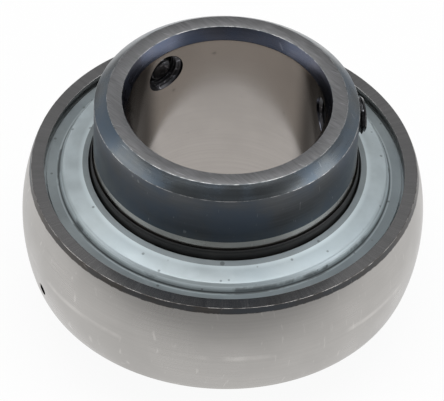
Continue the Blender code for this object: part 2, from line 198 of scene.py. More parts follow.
class BearingColours(bpy.types.PropertyGroup):
    """Linear colours of the finishes."""

    sphere: finish_colour("Ground sphere", "Bright ground steel outside", (0.43, 0.416, 0.4))
    side: finish_colour("Side face", "Burnished side face", (0.315, 0.31, 0.31))
    bevel: finish_colour("Bevel", "Narrow bevel at the side face", (0.095, 0.087, 0.08))
    raceway: finish_colour("Raceway", "Ball grooves and recesses", (0.3, 0.29, 0.28))
    end_face: finish_colour("End face", "Ground end face", (0.215, 0.215, 0.22))
    blued: finish_colour("Blued steel", "Dark outside of the inner ring", (0.1, 0.106, 0.113))
    chamfer: finish_colour("Chamfer", "Outer end chamfer", (0.158, 0.172, 0.181))
    bore_chamfer: finish_colour("Bore chamfer", "Dark chamfer at the bore", (0.088, 0.09, 0.11))
    land: finish_colour("Land", "Ground land under the lip", (0.5, 0.475, 0.445))
    bore: finish_colour("Bore", "Warm ground bore", (0.5, 0.465, 0.435))
    bare_edge: finish_colour("Bare edge", "Steel where an edge is worn", (0.5, 0.5, 0.5))
    zinc: finish_colour("Zinc", "Zinc coated sheet", (0.45, 0.51, 0.53))
    rubber: finish_colour("Rubber", "Black seal lip", (0.011, 0.011, 0.011))
    screw: finish_colour("Screw", "Blackened grub screw", (0.032, 0.032, 0.035))
    ball: finish_colour("Ball", "Polished ball steel", (0.62, 0.62, 0.61))
    nylon: finish_colour("Cage", "Moulded cage", (0.05, 0.13, 0.08))
    floor: finish_colour("Floor", "Pale floor near the bearing", (0.93, 0.93, 0.93))


class BearingStage(bpy.types.PropertyGroup):
    """Where the camera stands and how it looks."""

    elevation: bpy.props.FloatProperty(
        name="Elevation", description="Camera above the ball row", default=0.794, subtype="ANGLE"
    )
    roll: bpy.props.FloatProperty(
        name="Roll", description="Tilt of the picture", default=0.042, subtype="ANGLE"
    )
    distance: length("Distance", "From the camera to the ball row", 0.55884)
    shift_right: bpy.props.FloatProperty(
        name="Shift right", description="Bearing moved right", default=0.000102, unit="LENGTH"
    )
    shift_up: bpy.props.FloatProperty(
        name="Shift up", description="Bearing moved up", default=-0.000996, unit="LENGTH"
    )
    focal_length: bpy.props.FloatProperty(
        name="Focal length", description="In millimetres, on a 36 mm sensor", default=348.75
    )


# Outlines, and how they become objects

Corner = namedtuple("Corner", "radius height rounding cuts", defaults=(0.0, 0))
Arc = namedtuple("Arc", "radius height degrees steps rounding", defaults=(0.0,))


def round_off(bm, geom, size, steps, affect):
    bmesh.ops.bevel(
        bm,
        geom=geom,
        offset=size,
        offset_type="OFFSET",
        segments=steps,
        profile=0.5,
        affect=affect,
        material=-1,
    )


def draw_outline(path, closed=True):
    """Draw corners and arcs in the XZ plane. An arc swings the last point about its centre."""
    bm = bmesh.new()
    verts, rounded, long_edges = [], [], []
    for step in path:
        if isinstance(step, Arc):
            swing = bmesh.ops.spin(
                bm,
                geom=[verts[-1]],
                cent=(step.radius, 0.0, step.height),
                axis=(0.0, 1.0, 0.0),
                angle=math.radians(step.degrees),
                steps=step.steps,
                use_duplicate=False,
            )
            last = swing["geom_last"]
            point = next(thing for thing in last if isinstance(thing, bmesh.types.BMVert))
        else:
            point = bm.verts.new((step.radius, 0.0, step.height))
            if verts:
                edge = bm.edges.new((verts[-1], point))
                if step.cuts:
                    long_edges.append((edge, step.cuts))
        verts.append(point)
        if step.rounding:
            rounded.append((point.co.copy(), step.rounding))
    if closed:
        bm.edges.new((verts[-1], verts[0]))
    for edge, cuts in long_edges:
        bmesh.ops.subdivide_edges(bm, edges=[edge], cuts=cuts)
    for size in sorted({size for _, size in rounded}):
        places = [place for place, wanted in rounded if wanted == size]
        corners = [v for v in bm.verts if any((v.co - place).length < MERGE for place in places)]
        round_off(bm, corners, size, EDGE_STEPS if size < BEND else BEND_STEPS, "VERTICES")
    return bm


def turn(bm, steps=TURN_STEPS):
    """Spin the outline right round Z and close it."""
    bmesh.ops.spin(
        bm,
        geom=bm.verts[:] + bm.edges[:],
        cent=(0.0, 0.0, 0.0),
        axis=(0.0, 0.0, 1.0),
        angle=math.tau,
        steps=steps,
        use_merge=True,
        use_duplicate=False,
    )
    bmesh.ops.remove_doubles(bm, verts=bm.verts, dist=MERGE)
    bmesh.ops.recalc_face_normals(bm, faces=bm.faces)
    return bm


def turned_tool(path):
    """A small solid round Z, from an outline that starts and ends on the axis."""
    return turn(draw_outline(path, closed=False), DETAIL_STEPS)


def flipped(bm, side):
    """Turn the shape upside down for the lower side of the bearing."""
    if side < 0:
        bmesh.ops.scale(bm, vec=(1.0, 1.0, -1.0), verts=bm.verts)
        bmesh.ops.recalc_face_normals(bm, faces=bm.faces)
    return bm


def as_object(name, bm, finishes=(), finish=None):
    """Make the shape an object with these finishes, or with one of them all over."""
    if finish is not None:
        for face in bm.faces:
            face.material_index = finish
    mesh = bpy.data.meshes.new(name)
    for material in finishes:
        mesh.materials.append(material)
    bm.to_mesh(mesh)
    bm.free()
    piece = bpy.data.objects.new(name, mesh)
    bpy.context.scene.collection.objects.link(piece)
    return piece


def settle(piece):
    """Keep what the modifiers made as the mesh itself."""
    depsgraph = bpy.context.evaluated_depsgraph_get()
    mesh = bpy.data.meshes.new_from_object(piece.evaluated_get(depsgraph))
    old = piece.data
    piece.modifiers.clear()
    piece.data = mesh
    bpy.data.meshes.remove(old)
    mesh.name = piece.name


def machine(piece, tool, operation="DIFFERENCE"):
    """Cut the tool out of the piece, or keep what they share, and throw the tool away."""
    cut = piece.modifiers.new("machine", "BOOLEAN")
    cut.solver = "EXACT"
    cut.operation = operation
    cut.object = tool
    settle(piece)
    bpy.data.objects.remove(tool, do_unlink=True)


def finish_piece(piece, body, node):
    """Shade the piece and let it stand for its CAD node."""
    if not piece.data.polygons or not piece.data.materials:
        raise RuntimeError(f"{piece.name} came out empty or without a finish")
    piece.data.shade_smooth()
    piece.data.set_sharp_from_angle(angle=SHARP_ANGLE)
    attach(piece, body)
    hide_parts(node)


def sort_faces(bm, finish_of):
    """Give each face the finish that its middle calls for."""
    for face in bm.faces:
        middle = face.calc_center_median()
        face.material_index = finish_of(math.hypot(middle.x, middle.y), middle.z)


def on_edge(radius, height, edges, rounding):
    """Whether this point lies on the rounding of one of the edges."""
    return any(math.hypot(radius - r, height - z) < rounding * 0.9 for r, z in edges)


def outwards(angle, distance, height):
    """The place of something whose Z axis lies along a radius of the bearing."""
    return (
        Matrix.Rotation(math.radians(angle), 4, "Z")
        @ Matrix.Translation((distance, 0.0, height))
        @ Matrix.Rotation(math.pi / 2, 4, "Y")
    )


def placed(bm, place):
    bmesh.ops.transform(bm, matrix=place, verts=bm.verts)
    return bm


# Finishes

MEASURES = ("LENGTH", "DISTANCE", "DOT_PRODUCT")


def shade(colour, factor):
    """A lighter or darker colour."""
    return tuple(min(1.0, channel * factor) for channel in colour)


def tinted(colour, red, green, blue):
    """The colour with each channel changed by its own factor."""
    return (colour[0] * red, colour[1] * green, colour[2] * blue)


def opaque(colour):
    """A colour with its alpha. A socket stays as it is."""
    return colour if isinstance(colour, bpy.types.NodeSocket) else (*colour, 1.0)


class Nodes:
    """A node tree, with the nodes that the finishes and the room are made of."""

    def __init__(self, tree):
        self.tree = tree

    def feed(self, node, inputs):
        """Link a socket to each input, or set a value there."""
        for key, value in inputs.items():
            if isinstance(value, bpy.types.NodeSocket):
                self.tree.links.new(value, node.inputs[key])
            else:
                node.inputs[key].default_value = value
        return node

    def add(self, kind, inputs, **settings):
        node = self.tree.nodes.new(kind)
        for key, value in settings.items():
            setattr(node, key, value)
        return self.feed(node, inputs)

    def calc(self, operation, first, second=0.0):
        return self.add("ShaderNodeMath", {0: first, 1: second}, operation=operation).outputs[0]

    def vector(self, operation, first, second=(0.0, 0.0, 0.0)):
        """Vector arithmetic, which gives a number where it measures something."""
        node = self.add("ShaderNodeVectorMath", {0: first, 1: second}, operation=operation)
        return node.outputs["Value" if operation in MEASURES else "Vector"]

    def between(self, value, low, high, to_low=0.0, to_high=1.0):
        """Map the value from one span to another, held at the ends."""
        spans = {"From Min": low, "From Max": high, "To Min": to_low, "To Max": to_high}
        inputs = {"Value": value, **spans}
        return self.add("ShaderNodeMapRange", inputs, interpolation_type="SMOOTHSTEP").outputs[0]

    def off(self, value, middle):
        """How far the value lies from its middle, up or down."""
        return self.calc("ABSOLUTE", self.calc("SUBTRACT", value, middle))


class Finish(Nodes):
    """One procedural finish, read from the piece's own coordinates.

    Its colour is built up in layers. A number that stands for a colour is a shade of the base
    colour. A layer's span is where its pattern brings it in, and cover is its greatest strength.
    """

    def __init__(self, name, colour, roughness, metallic=1.0):
        self.material = bpy.data.materials.new(name)
        self.material.use_nodes = True
        super().__init__(self.material.node_tree)
        self.shader = self.tree.nodes["Principled BSDF"]
        self.shader.inputs["Metallic"].default_value = metallic
        self.place = self.add("ShaderNodeTexCoord", {}).outputs["Object"]
        self.base = self.tone = colour
        self.roughness = roughness

    def stretched(self, scale, turn_angle=0.0):
        """The piece's coordinates, turned about Z and then stretched."""
        inputs = {"Vector": self.place, "Rotation": (0.0, 0.0, turn_angle)}
        return self.vector("MULTIPLY", self.add("ShaderNodeMapping", inputs).outputs[0], scale)

    def flat(self):
        return self.vector("MULTIPLY", self.place, (1.0, 1.0, 0.0))

    def radius(self):
        """Distance from the bearing's axis."""
        return self.vector("LENGTH", self.flat())

    def round_axis(self, scale):
        """A point on a circle, the same all along a radius, so that noise makes radial marks."""
        unit = self.vector("NORMALIZE", self.flat())
        return self.vector("MULTIPLY", unit, (scale, scale, scale))

    def noise(self, scale, detail=2.0, roughness=0.5, vector=None):
        """Cloudy noise, on the piece's own coordinates unless it gets others."""
        inputs = {"Scale": scale, "Detail": detail, "Roughness": roughness}
        inputs["Vector"] = self.place if vector is None else vector
        return self.add("ShaderNodeTexNoise", inputs).outputs["Fac"]

    def streaks(self, scale, turn_angle=0.0, detail=2.0, roughness=0.5):
        """Noise drawn out into lines that are turned about Z."""
        return self.noise(1.0, detail, roughness, self.stretched(scale, turn_angle))

    def specks(self, scale, size, share):
        """Small round spots in a share of the cells."""
        cells = self.add("ShaderNodeTexVoronoi", {"Vector": self.place, "Scale": scale})
        spot = self.between(cells.outputs["Distance"], size, size * 1.6, 1.0, 0.0)
        pick = self.add("ShaderNodeSeparateColor", {"Color": cells.outputs["Color"]}).outputs[0]
        return self.calc("MULTIPLY", spot, self.calc("LESS_THAN", pick, share))

    def mix(self, share, under, over):
        inputs = {0: share, 6: opaque(under), 7: opaque(over)}
        return self.add("ShaderNodeMix", inputs, data_type="RGBA", clamp_factor=True).outputs[2]

    def paint(self, over, share):
        """Lay a colour over the tone so far, in a share from 0 to 1."""
        if isinstance(over, float):
            over = shade(self.base, over)
        self.tone = self.mix(share, self.tone, over)

    def layer(self, over, pattern, low, high, cover=1.0):
        """Lay a colour over the tone so far, where the pattern is high."""
        self.paint(over, self.between(pattern, low, high, 0.0, cover))

    def tones(self, darkest, lightest, pattern, low, high):
        """Let the base colour go from one shade of itself to another."""
        self.tone = shade(self.base, darkest)
        self.layer(lightest, pattern, low, high)

    def roughen(self, pattern, low, high, to_low, to_high):
        """Add to the roughness what the pattern says."""
        change = self.between(pattern, low, high, to_low, to_high)
        self.roughness = self.calc("ADD", change, self.roughness)

    def done(self, height, strength, depth):
        """Give the shader its tone, its roughness and its bump, and the caller the material."""
        relief = {"Height": height, "Strength": strength, "Distance": depth}
        bump = self.add("ShaderNodeBump", relief).outputs[0]
        tone = opaque(self.tone)
        self.feed(self.shader, {"Base Color": tone, "Roughness": self.roughness, "Normal": bump})
        return self.material


def ground_outside(name, colour, roughness):
    """Ground steel whose fine lines run round the axis, with smudges, a rubbed band and marks."""
    finish = Finish(name, colour, roughness)
    lines = finish.streaks((60.0, 60.0, 5200.0), detail=3.0, roughness=0.7)
    cloud = finish.noise(95.0, 3.0, 0.55)
    marks = finish.streaks((900.0, 2600.0, 300.0), 0.6)
    patches = finish.between(finish.noise(70.0, 4.0, 0.65), 0.42, 0.62)
    height = finish.add("ShaderNodeSeparateXYZ", {0: finish.place}).outputs["Z"]
    band = finish.between(finish.off(height, -0.0006), 0.0001, 0.0006, 0.7, 0.0)
    finish.tones(0.95, 1.05, lines, 0.25, 0.75)
    finish.layer(0.88, cloud, 0.35, 0.7, cover=0.5)
    finish.paint(1.4, finish.calc("MULTIPLY", band, patches))
    finish.layer(1.4, marks, 0.64, 0.76, cover=0.5)
    finish.roughen(cloud, 0.3, 0.7, -0.04, 0.06)
    finish.roughen(lines, 0.2, 0.8, -0.03, 0.03)
    return finish.done(lines, 0.25, 0.000004)


def scored_face(name, colour, roughness, turn_angle):
    """A flat ground face, scored by fine straight strokes."""
    finish = Finish(name, colour, roughness)
    fine = finish.streaks((500.0, 9000.0, 500.0), turn_angle)
    broad = finish.streaks((160.0, 2400.0, 160.0), turn_angle + 0.12, detail=3.0)
    deep = finish.streaks((350.0, 5200.0, 350.0), turn_angle - 0.25, detail=1.0)
    cloud = finish.noise(150.0)
    finish.tones(0.8, 1.2, fine, 0.25, 0.75)
    finish.layer(1.3, broad, 0.4, 0.75, cover=0.5)
    finish.layer(0.8, cloud, 0.4, 0.7, cover=0.35)
    finish.layer(2.0, deep, 0.69, 0.74, cover=0.7)
    finish.roughen(fine, 0.2, 0.8, -0.06, 0.08)
    return finish.done(fine, 0.4, 0.000006)


def brushed_side(name, colour, roughness):
    """The burnished side face, with faint radial brush marks and small nicks."""
    finish = Finish(name, colour, roughness)
    brush = finish.noise(1.0, 3.0, 0.65, finish.round_axis(130.0))
    cloud = finish.noise(130.0)
    nicks = finish.noise(1.0, 1.0, 0.5, finish.round_axis(55.0))
    finish.tones(0.92, 1.1, brush, 0.3, 0.72)
    finish.layer(0.82, cloud, 0.4, 0.7, cover=0.4)
    finish.layer(1.8, nicks, 0.76, 0.78, cover=0.4)
    finish.roughen(brush, 0.2, 0.8, -0.03, 0.04)
    return finish.done(brush, 0.1, 0.000003)


def blued_steel(name, colour, roughness):
    """Dark blued steel: turning lines, cloudy oxide, and thin rubbed scratches."""
    finish = Finish(name, colour, roughness)
    lines = finish.streaks((90.0, 90.0, 3600.0))
    cloud = finish.noise(110.0, 4.0, 0.6)
    rubbed = finish.streaks((260.0, 4200.0, 600.0), 0.9, detail=1.0)
    finish.tones(0.9, 1.12, lines, 0.25, 0.75)
    finish.layer(tinted(colour, 0.8, 0.95, 1.15), cloud, 0.35, 0.68)
    finish.layer(2.6, rubbed, 0.73, 0.77, cover=0.5)
    finish.roughen(cloud, 0.3, 0.7, -0.05, 0.07)
    finish.roughen(lines, 0.2, 0.8, -0.03, 0.03)
    return finish.done(lines, 0.25, 0.000004)


def worn_edge(name, bare, coated, roughness):
    """An edge whose dark finish is rubbed through in places."""
    finish = Finish(name, coated, roughness)
    wear = finish.noise(900.0, 3.0, 0.6)
    finish.layer(bare, wear, 0.4, 0.62)
    finish.roughen(wear, 0.3, 0.7, 0.1, -0.08)
    return finish.done(wear, 0.3, 0.000008)


def ground_bore(name, colour, roughness):
    """The honed bore: lines round the axis, soft stains, small specks and nicks, with painted shade
    where the wall is seen edge-on.
    """
    finish = Finish(name, colour, roughness)
    lines = finish.streaks((40.0, 40.0, 4200.0), detail=3.0, roughness=0.65)
    cloud = finish.noise(120.0, 3.0)
    nicks = finish.between(finish.streaks((420.0, 420.0, 2600.0), 0.4), 0.74, 0.78)
    spots = finish.calc("MAXIMUM", finish.specks(420.0, 0.09, 0.2), nicks)
    grazing_shade = finish.add("ShaderNodeLayerWeight", {"Blend": 0.5}).outputs["Facing"]
    finish.tones(0.97, 1.03, lines, 0.25, 0.75)
    finish.layer(0.88, cloud, 0.4, 0.7, cover=0.5)
    finish.paint(0.45, finish.calc("MULTIPLY", spots, 0.5))
    # Painted shade: the bore wall darkens where it is seen edge-on, towards its sides.
    finish.layer(0.42, grazing_shade, 0.46, 0.6)
    finish.roughen(cloud, 0.3, 0.7, -0.02, 0.04)
    return finish.done(lines, 0.06, 0.000003)


def zinc_coat(name, colour, roughness, crease=0.0, shoulder=0.0):
    """Zinc coated sheet: cloudy spangle, drawing lines, dark pits, and painted shade in a thin dark
    line along a crease, with patchy dark streaks beside it.

    Beside the crease the coat has painted highlights in two thin lines, and a wider painted
    highlight at the shoulder.
    """
    finish = Finish(name, colour, roughness, metallic=0.45)
    cloud = finish.noise(260.0, 4.0, 0.6)
    broad = finish.noise(70.0)
    drawn = finish.streaks((160.0, 160.0, 2600.0))
    pits = finish.calc("MAXIMUM", finish.specks(900.0, 0.13, 0.22), finish.specks(450.0, 0.1, 0.12))
    finish.tones(0.93, 1.06, cloud, 0.35, 0.68)
    finish.layer(tinted(colour, 0.8, 0.85, 0.9), broad, 0.42, 0.72, cover=0.5)
    if shoulder:
        # Painted highlight: a wider bright band round the shoulder radius.
        off = finish.off(finish.radius(), shoulder)
        finish.paint(1.45, finish.between(off, 0.0001, 0.0008, 0.6, 0.0))
    if crease:
        off = finish.off(finish.radius(), crease)
        # Painted highlights: two thin bright lines, one on each side of the crease.
        beside = finish.off(off, 0.00024)
        finish.paint(1.7, finish.between(beside, 0.00004, 0.00012, 0.6, 0.0))
        # Painted shade: a thin dark line in the crease; beside it, patchy dark streaks spread from
        # it.
        line = finish.between(off, 0.00003, 0.0001, 0.855, 0.0)
        spread = finish.between(off, 0.0001, 0.0004, 0.7, 0.0)
        streak = finish.calc("MULTIPLY", spread, finish.between(cloud, 0.5, 0.62))
        finish.paint(0.2, finish.calc("MAXIMUM", line, streak))
    finish.paint(0.3, finish.calc("MULTIPLY", pits, 0.7))
    finish.roughen(cloud, 0.3, 0.7, -0.05, 0.06)
    finish.roughen(drawn, 0.2, 0.8, -0.04, 0.04)
    return finish.done(finish.calc("ADD", cloud, drawn), 0.2, 0.000006)


def moulded_rubber(name, colour, roughness):
    """Black rubber with a fine bloom and mould texture."""
    finish = Finish(name, colour, roughness, metallic=0.0)
    grain = finish.noise(5200.0)
    bloom = finish.noise(240.0, 3.0)
    finish.layer(2.2, bloom, 0.4, 0.75, cover=0.6)
    finish.roughen(bloom, 0.3, 0.7, -0.08, 0.1)
    return finish.done(grain, 0.35, 0.00001)


def blackened(name, colour, roughness):
    """Black oxide on the grub screws, oily and slightly rubbed, its bright rubbed flecks made
    strong enough to serve as painted glints.
    """
    finish = Finish(name, colour, roughness, metallic=0.85)
    cloud = finish.noise(600.0, 3.0)
    rubbed = finish.noise(2200.0)
    finish.layer(1.8, cloud, 0.35, 0.7)
    # Bright flecks where the oxide is rubbed through, strengthened as painted glints.
    finish.layer(8.0, rubbed, 0.58, 0.7, cover=0.8)
    finish.roughen(cloud, 0.3, 0.7, -0.08, 0.1)
    return finish.done(rubbed, 0.3, 0.000008)


def polished_steel(name, colour, roughness):
    """Mirror polished ball steel under a film of grease."""
    finish = Finish(name, colour, roughness)
    film = finish.noise(320.0, 3.0)
    finish.layer(0.9, film, 0.35, 0.7)
    finish.roughen(film, 0.35, 0.75, 0.0, 0.12)
    return finish.done(film, 0.08, 0.000004)


def moulded_nylon(name, colour, roughness):
    """Glass filled nylon: a mottled skin with fine fibres."""
    finish = Finish(name, colour, roughness, metallic=0.0)
    fibres = finish.streaks((5200.0, 1600.0, 900.0), 0.5, detail=3.0)
    cloud = finish.noise(300.0, 3.0)
    finish.tones(0.85, 1.2, cloud, 0.35, 0.7)
    finish.layer(2.0, fibres, 0.6, 0.75, cover=0.5)
    finish.roughen(cloud, 0.3, 0.7, -0.06, 0.08)
    return finish.done(fibres, 0.3, 0.00001)


# Pieces


class Builder:
    """What the operators of the pieces share: they build from the sizes and colours as set."""

    def execute(self, context):
        self.build(context.scene.bearing_sizes, context.scene.bearing_colours)
        return {"FINISHED"}


def groove_span(size, centre, shoulder):
    """Degrees that a ball groove turns through, and the height of its edge at the shoulder."""
    half = math.acos(abs(shoulder - centre) / size.groove_radius)
    return math.degrees(2 * half), size.groove_radius * math.sin(half)


def both_sides(path, name, node, material):
    """Turn a closed outline for each side, whose word goes into the two names."""
    for side, facing in SIDES:
        shape = flipped(turn(draw_outline(path)), facing)
        piece = as_object(name.format(side), shape, [material])
        finish_piece(piece, "outer_ring", node.format(side))


def drill(size, angle):
    """A radial drill for a lubrication hole, with a small flare where it comes out."""
    flare, radius = 0.0001, size.lube_radius
    skin = math.sqrt(size.sphere_radius**2 - size.lube_drop**2)
    path = [
        Corner(0.0, skin + CUT_MARGIN),
        Corner(radius + flare + CUT_MARGIN, skin + CUT_MARGIN),
        Corner(radius, skin - flare),
        Corner(radius, size.shoulder_radius - CUT_MARGIN),
        Corner(0.0, size.shoulder_radius - CUT_MARGIN),
    ]
    return placed(turned_tool(path), outwards(angle, 0.0, -size.lube_drop))


class BEARING_OT_outer_ring(Builder, bpy.types.Operator):
    """Turn and grind the spherical outer ring, and drill its lubrication holes."""

    bl_idname = "bearing.outer_ring"
    bl_label = "Outer Ring"

    def build(self, size, colours):
        side = size.half_width
        bevel_foot = side - size.bevel_height
        bevel_angle = math.degrees(math.asin(bevel_foot / size.sphere_radius))
        sphere_edge = math.sqrt(size.sphere_radius**2 - bevel_foot**2)
        groove_centre = size.pitch_radius + size.ball_radius + size.ball_gap - size.groove_radius
        groove_turn, groove_edge = groove_span(size, groove_centre, size.shoulder_radius)
        fine, soft, beyond = 0.00004, 0.00008, 0.001
        path = [
            Corner(size.face_radius, side, fine),
            Corner(sphere_edge, bevel_foot, fine),
            Arc(0.0, 0.0, 2 * bevel_angle, SPHERE_STEPS, fine),
            Corner(size.face_radius, -side, fine),
            Corner(size.mouth_radius, -side, soft),
            Corner(size.mouth_radius, -size.undercut_top, fine),
            Corner(size.undercut_radius, -size.undercut_top, fine),
            Corner(size.undercut_radius, -size.recess_floor, fine),
            Corner(size.shoulder_radius, -size.recess_floor, soft),
            Corner(size.shoulder_radius, -groove_edge, fine),
            Arc(groove_centre, 0.0, -groove_turn, GROOVE_STEPS, fine),
            Corner(size.shoulder_radius, size.recess_floor, soft),
            Corner(size.undercut_radius, size.recess_floor, fine),
            Corner(size.undercut_radius, size.undercut_top, fine),
            Corner(size.mouth_radius, size.undercut_top, fine),
            Corner(size.mouth_radius, side, soft),
        ]
        worn = [(size.face_radius, side), (sphere_edge, bevel_foot)]

        def finish_of(radius, height):
            if on_edge(radius, height, worn, fine):
                return WORN_BEVEL
            if abs(height) > side - LEVEL:
                return SIDE_FACE
            if height > bevel_foot and radius > size.mouth_radius + beyond:
                return BEVEL
            return SPHERE if radius > size.undercut_radius + beyond else RACEWAY

        bm = turn(draw_outline(path))
        sort_faces(bm, finish_of)
        finishes = [
            ground_outside("ground_sphere", colours.sphere, 0.3),
            brushed_side("burnished_side", colours.side, 0.18),
            blued_steel("dark_bevel", colours.bevel, 0.32),
            ground_outside("ground_raceway", colours.raceway, 0.25),
            worn_edge("worn_bevel", colours.sphere, colours.bevel, 0.3),
        ]
        ring = as_object("ground_outer_ring", bm, finishes)
        for angle in LUBE_ANGLES:
            machine(ring, as_object("drill", drill(size, angle), finishes, RACEWAY))
        finish_piece(ring, "outer_ring", "outer_ring")


def thread_body(size, gap, start, end):
    """A bar with a screw thread along Z, which is in step with every other one made here."""
    pitch = size.thread_pitch
    crest = size.screw_radius + gap
    root = crest - size.thread_depth
    turns_before = math.ceil(-start / pitch) + 2
    turns = turns_before + math.ceil(end / pitch) + 2
    foot = -turns_before * pitch
    path = [
        Corner(root, foot),
        Corner(root, foot + pitch / 4),
        Corner(crest, foot + pitch * 9 / 16),
        Corner(crest, foot + pitch * 11 / 16),
        Corner(root, foot + pitch),
    ]
    bm = draw_outline(path, closed=False)
    bmesh.ops.spin(
        bm,
        geom=bm.verts[:] + bm.edges[:],
        cent=(0.0, 0.0, 0.0),
        axis=(0.0, 0.0, 1.0),
        dvec=(0.0, 0.0, pitch / DETAIL_STEPS),
        angle=math.tau * turns,
        steps=DETAIL_STEPS * turns,
        use_duplicate=False,
    )
    bmesh.ops.remove_doubles(bm, verts=bm.verts, dist=MERGE)
    for height, direction in ((start, -1.0), (end, 1.0)):
        bmesh.ops.bisect_plane(
            bm,
            geom=bm.verts[:] + bm.edges[:] + bm.faces[:],
            dist=MERGE / 5,
            plane_co=(0.0, 0.0, height),
            plane_no=(0.0, 0.0, direction),
            clear_outer=True,
        )
    bmesh.ops.holes_fill(bm, edges=[edge for edge in bm.edges if edge.is_boundary], sides=0)
    bmesh.ops.recalc_face_normals(bm, faces=bm.faces)
    return bm


def tap(size, angle):
    """The thread that a screw hole gets, a little wider than the screw's and in step with it."""
    start = size.bore_radius - size.screw_centre - CUT_MARGIN
    end = size.inner_radius - size.screw_centre + CUT_MARGIN
    bm = thread_body(size, size.thread_gap, start, end)
    return placed(bm, outwards(angle, size.screw_centre, size.screw_height))


def countersink(size, angle, mouth, facing):
    """The relieved mouth of a screw hole, inwards or outwards, with a cone down to its thread."""
    radius, root = size.screw_radius + 0.00018, size.screw_radius - size.thread_depth
    flare, lip, depth = 0.0002, 0.00005, 0.0005
    path = [
        Corner(0.0, facing * CUT_MARGIN),
        Corner(radius + flare, facing * CUT_MARGIN),
        Corner(radius, -facing * lip),
        Corner(root, -facing * depth),
        Corner(0.0, -facing * depth),
    ]
    bm = turned_tool(path)
    mouth_finish = WORN_EDGE if facing > 0 else BORE_CHAMFER
    sort_faces(bm, lambda distance, _: mouth_finish if distance > radius else HOLE_WALL)
    return placed(bm, outwards(angle, mouth, size.screw_height))


class BEARING_OT_inner_ring(Builder, bpy.types.Operator):
    """Turn the inner ring, thread its two screw holes, and finish each of its surfaces."""

    bl_idname = "bearing.inner_ring"
    bl_label = "Inner Ring"

    def build(self, size, colours):
        land = size.inner_radius - size.land_step
        groove_centre = size.pitch_radius - size.ball_radius - size.ball_gap + size.groove_radius
        groove_turn, groove_edge = groove_span(size, groove_centre, land)
        top, bottom = size.inner_top, -size.inner_bottom
        face_edge = size.inner_radius - size.end_chamfer_width
        lower_edge = size.inner_radius - size.lower_chamfer
        bore_edge = size.bore_radius + size.bore_chamfer_width
        chamfer_foot = top - size.end_chamfer_height
        bore_foot = top - size.bore_chamfer_height
        lower_bore_foot = bottom + size.bore_chamfer_height
        fine, soft = 0.00005, 0.0001
        path = [
            Corner(face_edge, top, fine),
            Corner(size.inner_radius, chamfer_foot, fine),
            Corner(size.inner_radius, size.land_top, cuts=9),
            Corner(land, size.land_top - size.land_step),
            Corner(land, groove_edge, soft, cuts=5),
            Arc(groove_centre, 0.0, -groove_turn, GROOVE_STEPS, soft),
            Corner(land, size.land_step - size.land_top, cuts=5),
            Corner(size.inner_radius, -size.land_top),
            Corner(size.inner_radius, bottom + size.lower_chamfer, fine),
            Corner(lower_edge, bottom, fine),
            Corner(bore_edge, bottom, fine),
            Corner(size.bore_radius, lower_bore_foot, fine),
            Corner(size.bore_radius, bore_foot, fine, cuts=40),
            Corner(bore_edge, top, fine),
        ]
        worn = [(face_edge, top), (size.inner_radius, chamfer_foot), (bore_edge, top)]

        def finish_of(radius, height):
            if on_edge(radius, height, worn, fine):
                return WORN_EDGE
            if height > top - LEVEL or height < bottom + LEVEL:
                return END_FACE
            if radius < bore_edge:
                return BORE if lower_bore_foot <= height <= bore_foot else BORE_CHAMFER
            if height > chamfer_foot or height < bottom + size.lower_chamfer:
                return CHAMFER
            return BLUED if abs(height) > size.land_top else LAND

        bm = turn(draw_outline(path))
        sort_faces(bm, finish_of)
        finishes = [
            blued_steel("blued_outside", colours.blued, 0.36),
            scored_face("scored_end_face", colours.end_face, 0.36, 0.68),
            blued_steel("blued_chamfer", colours.chamfer, 0.26),
            ground_outside("ground_land", colours.land, 0.28),
            blued_steel("dark_bore_chamfer", colours.bore_chamfer, 0.26),
            ground_bore("ground_bore", colours.bore, 0.15),
            blackened("screw_hole_wall", shade(colours.screw, 2.0), 0.36),
            worn_edge("worn_edge", colours.bare_edge, colours.chamfer, 0.3),
        ]
        ring = as_object("turned_inner_ring", bm, finishes)
        for angle in SCREW_ANGLES:
            machine(ring, as_object("tap", tap(size, angle), finishes, HOLE_WALL))
            for mouth, facing in ((size.bore_radius, -1), (size.inner_radius, 1)):
                cone = countersink(size, angle, mouth, facing)
                machine(ring, as_object("countersink", cone, finishes))
        finish_piece(ring, "inner_ring", "inner_ring")


class BEARING_OT_pressed_washers(Builder, bpy.types.Operator):
    """Press the two crowned zinc coated washers, one for each side."""

    bl_idname = "bearing.pressed_washers"
    bl_label = "Pressed Washers"

    def build(self, size, colours):
        crease = size.flange_inner - 0.00003
        # Painted shade: the flange, low in its channel by the ring, and the band beside the lip
        # take the zinc at half its tone.
        shaded_zinc = shade(colours.zinc, 0.5)
        zinc = [
            zinc_coat("zinc_crown", colours.zinc, 0.36, crease, size.band_radius),
            zinc_coat("zinc_flange", shaded_zinc, 0.38, crease),
            zinc_coat("zinc_band", shaded_zinc, 0.36),
        ]
        path = [
            Corner(size.rim_radius, size.rim_top),
            Corner(size.band_radius, size.band_foot, 0.0001, cuts=2),
            Corner(size.crown_radius, size.crown_edge, size.step_round, cuts=8),
            Corner(size.flange_inner, size.flange_top, 0.00005),
            Corner(size.flange_radius, size.flange_top, cuts=3),
        ]

        def finish_of(radius, _):
            if radius > size.flange_inner:
                return FLANGE
            return BAND if radius < size.band_radius else CROWN

        for side, facing in SIDES:
            bm = flipped(turn(draw_outline(path, closed=False)), facing)
            if sum(face.normal.z for face in bm.faces) * facing < 0.0:
                bmesh.ops.reverse_faces(bm, faces=bm.faces)
            sort_faces(bm, finish_of)
            washer = as_object(f"pressed_{side}_washer", bm, zinc)
            wall = washer.modifiers.new("sheet", "SOLIDIFY")
            wall.thickness = size.sheet
            wall.offset = -1.0
            wall.use_even_offset = True
            rim = washer.modifiers.new("rim", "BEVEL")
            rim.width = 0.00006
            rim.segments = 2
            rim.limit_method = "ANGLE"
            rim.angle_limit = RIM_ANGLE
            settle(washer)
            finish_piece(washer, "outer_ring", f"{side}_outer_washer")


